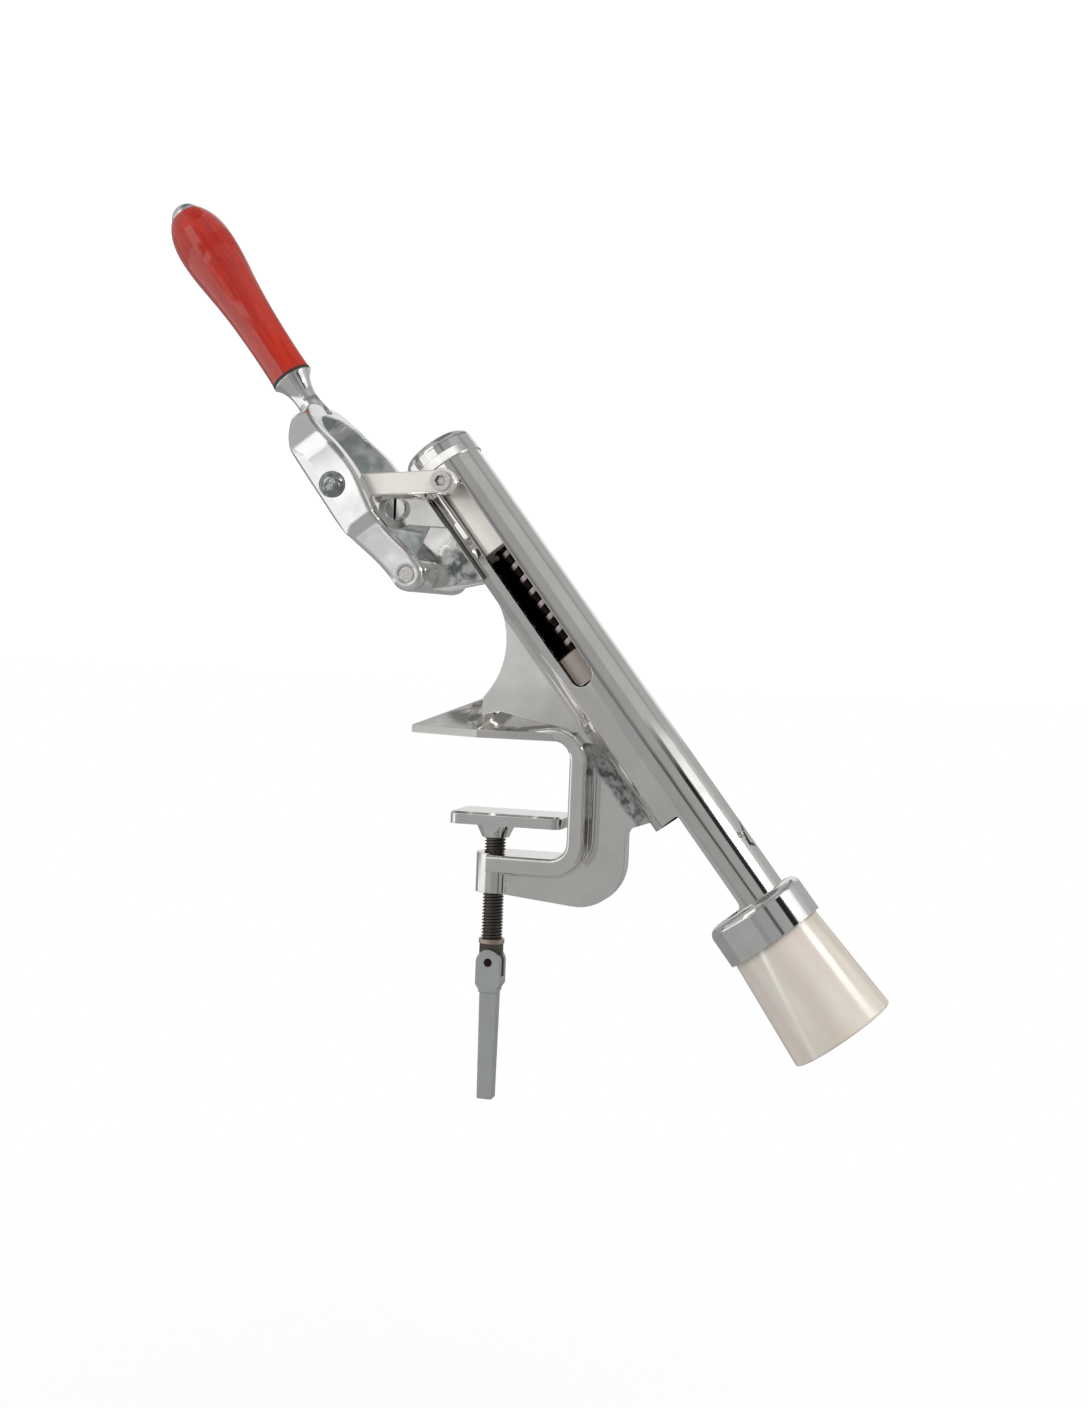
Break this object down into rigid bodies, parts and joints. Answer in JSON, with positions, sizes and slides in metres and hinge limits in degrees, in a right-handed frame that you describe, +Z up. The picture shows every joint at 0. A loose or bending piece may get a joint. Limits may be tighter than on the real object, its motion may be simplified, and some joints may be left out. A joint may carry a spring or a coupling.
{
  "type": "bar-mounted corkscrew",
  "caption": "Bar corkscrew that clamps to a counter edge: a lever drives a screw spindle down a sloping barrel into a bottle held in a flared guide and draws the cork out.",
  "frame": {"origin": "middle of the top jaw's flat underside, where it rests on the bar", "axes": "+Z up, +X horizontally towards the bottle end, Y across the machine, which is symmetric about Y = 0"},
  "size_m": [0.3666, 0.0842, 0.429],
  "materials": {
    "chrome_body": "polished chrome plate over cast metal",
    "chrome_lever": "polished chrome plate",
    "cream_plastic": "pearly cream moulded plastic",
    "bright_screw": "bright plated screw",
    "bronze": "sintered bronze",
    "black_ring": "thin black ring",
    "red_wood": "red-stained varnished wood",
    "dark_steel": "blackened steel",
    "steel_pin": "bright steel",
    "zinc_bolt": "dark zinc-plated steel",
    "steel_bar": "bright flat bar",
    "light_steel": "machined steel",
    "worm_steel": "hardened steel wire",
    "thread_steel": "dark threaded steel",
    "copper_ring": "coppery ring",
    "grey_steel": "satin grey steel"
  },
  "bodies": {
    "frame": {"body_casting": "chrome_body", "barrel_cap": "chrome_body", "bell_collar": "chrome_body", "bottle_guide": "cream_plastic", "lug_screw": "bright_screw", "pivot_bushes": "bronze"},
    "lever": {"lever_yoke": "chrome_lever", "grip_ring": "black_ring", "handle_grip": "red_wood", "handle_rod": "dark_steel", "handle_end_cap": "chrome_lever", "pivot_pin": "steel_pin", "link_bolts": "zinc_bolt"},
    "links": {"near_link": "steel_bar", "far_link": "steel_bar"},
    "carriage": {"carriage": "light_steel", "carriage_plug": "light_steel", "thrust_washer": "bronze", "carriage_bolts": "steel_pin", "bolt_spacers": "steel_pin"},
    "spindle": {"spindle": "dark_steel", "worm": "worm_steel"},
    "nut": {"spindle_nut": "light_steel"},
    "pad": {"clamp_pad": "chrome_body", "pad_ring": "dark_steel"},
    "screw": {"clamp_screw": "thread_steel", "screw_collar": "copper_ring"},
    "tommy": {"tommy_handle": "grey_steel", "tommy_pin": "dark_steel"}
  },
  "joints": [
    {"name": "lever_swing", "type": "hinge", "parent": "frame", "child": "lever", "pos_m": [-0.04286, 0, 0.07451], "axis": [0, 1, 0], "range_deg": [0, 131.07]},
    {"name": "carriage_travel", "type": "slide", "parent": "frame", "child": "carriage", "axis": [0.6157, 0, -0.788], "range_m": [0, 0.10901]},
    {"name": "link_turn", "type": "hinge", "parent": "carriage", "child": "links", "pos_m": [-0.02944, 0, 0.11824], "axis": [0, 1, 0], "range_deg": [0, 62.94]},
    {"name": "spindle_spin", "type": "hinge", "parent": "carriage", "child": "spindle", "pos_m": [-0.02944, 0, 0.11824], "axis": [0.6157, 0, -0.788], "range_deg": [0, 2910.09]},
    {"name": "nut_travel", "type": "slide", "parent": "frame", "child": "nut", "axis": [0.6157, 0, -0.788], "range_m": [0, 0.05001]},
    {"name": "clamp_lift", "type": "slide", "parent": "frame", "child": "pad", "axis": [0, 0, 1], "range_m": [-0.006, 0.02]},
    {"name": "clamp_turn", "type": "hinge", "parent": "pad", "child": "screw", "pos_m": [-0.0057, 0, -0.06], "axis": [0, 0, 1], "range_deg": [-1440, 4800]},
    {"name": "tommy_fold", "type": "hinge", "parent": "screw", "child": "tommy", "pos_m": [-0.0057, 0, -0.1068], "axis": [0, 1, 0], "range_deg": [-90, 90]}
  ],
  "couplings": [
    {"joint": "carriage_travel", "follows": "lever_swing", "m_per_rad": 0.047648},
    {"joint": "link_turn", "follows": "lever_swing", "ratio": 0.48011},
    {"joint": "spindle_spin", "follows": "lever_swing", "ratio": 22.199},
    {"joint": "nut_travel", "follows": "lever_swing", "m_per_rad": 0.021857},
    {"joint": "clamp_lift", "follows": "clamp_turn", "m_per_rad": 0.00023873}
  ]
}
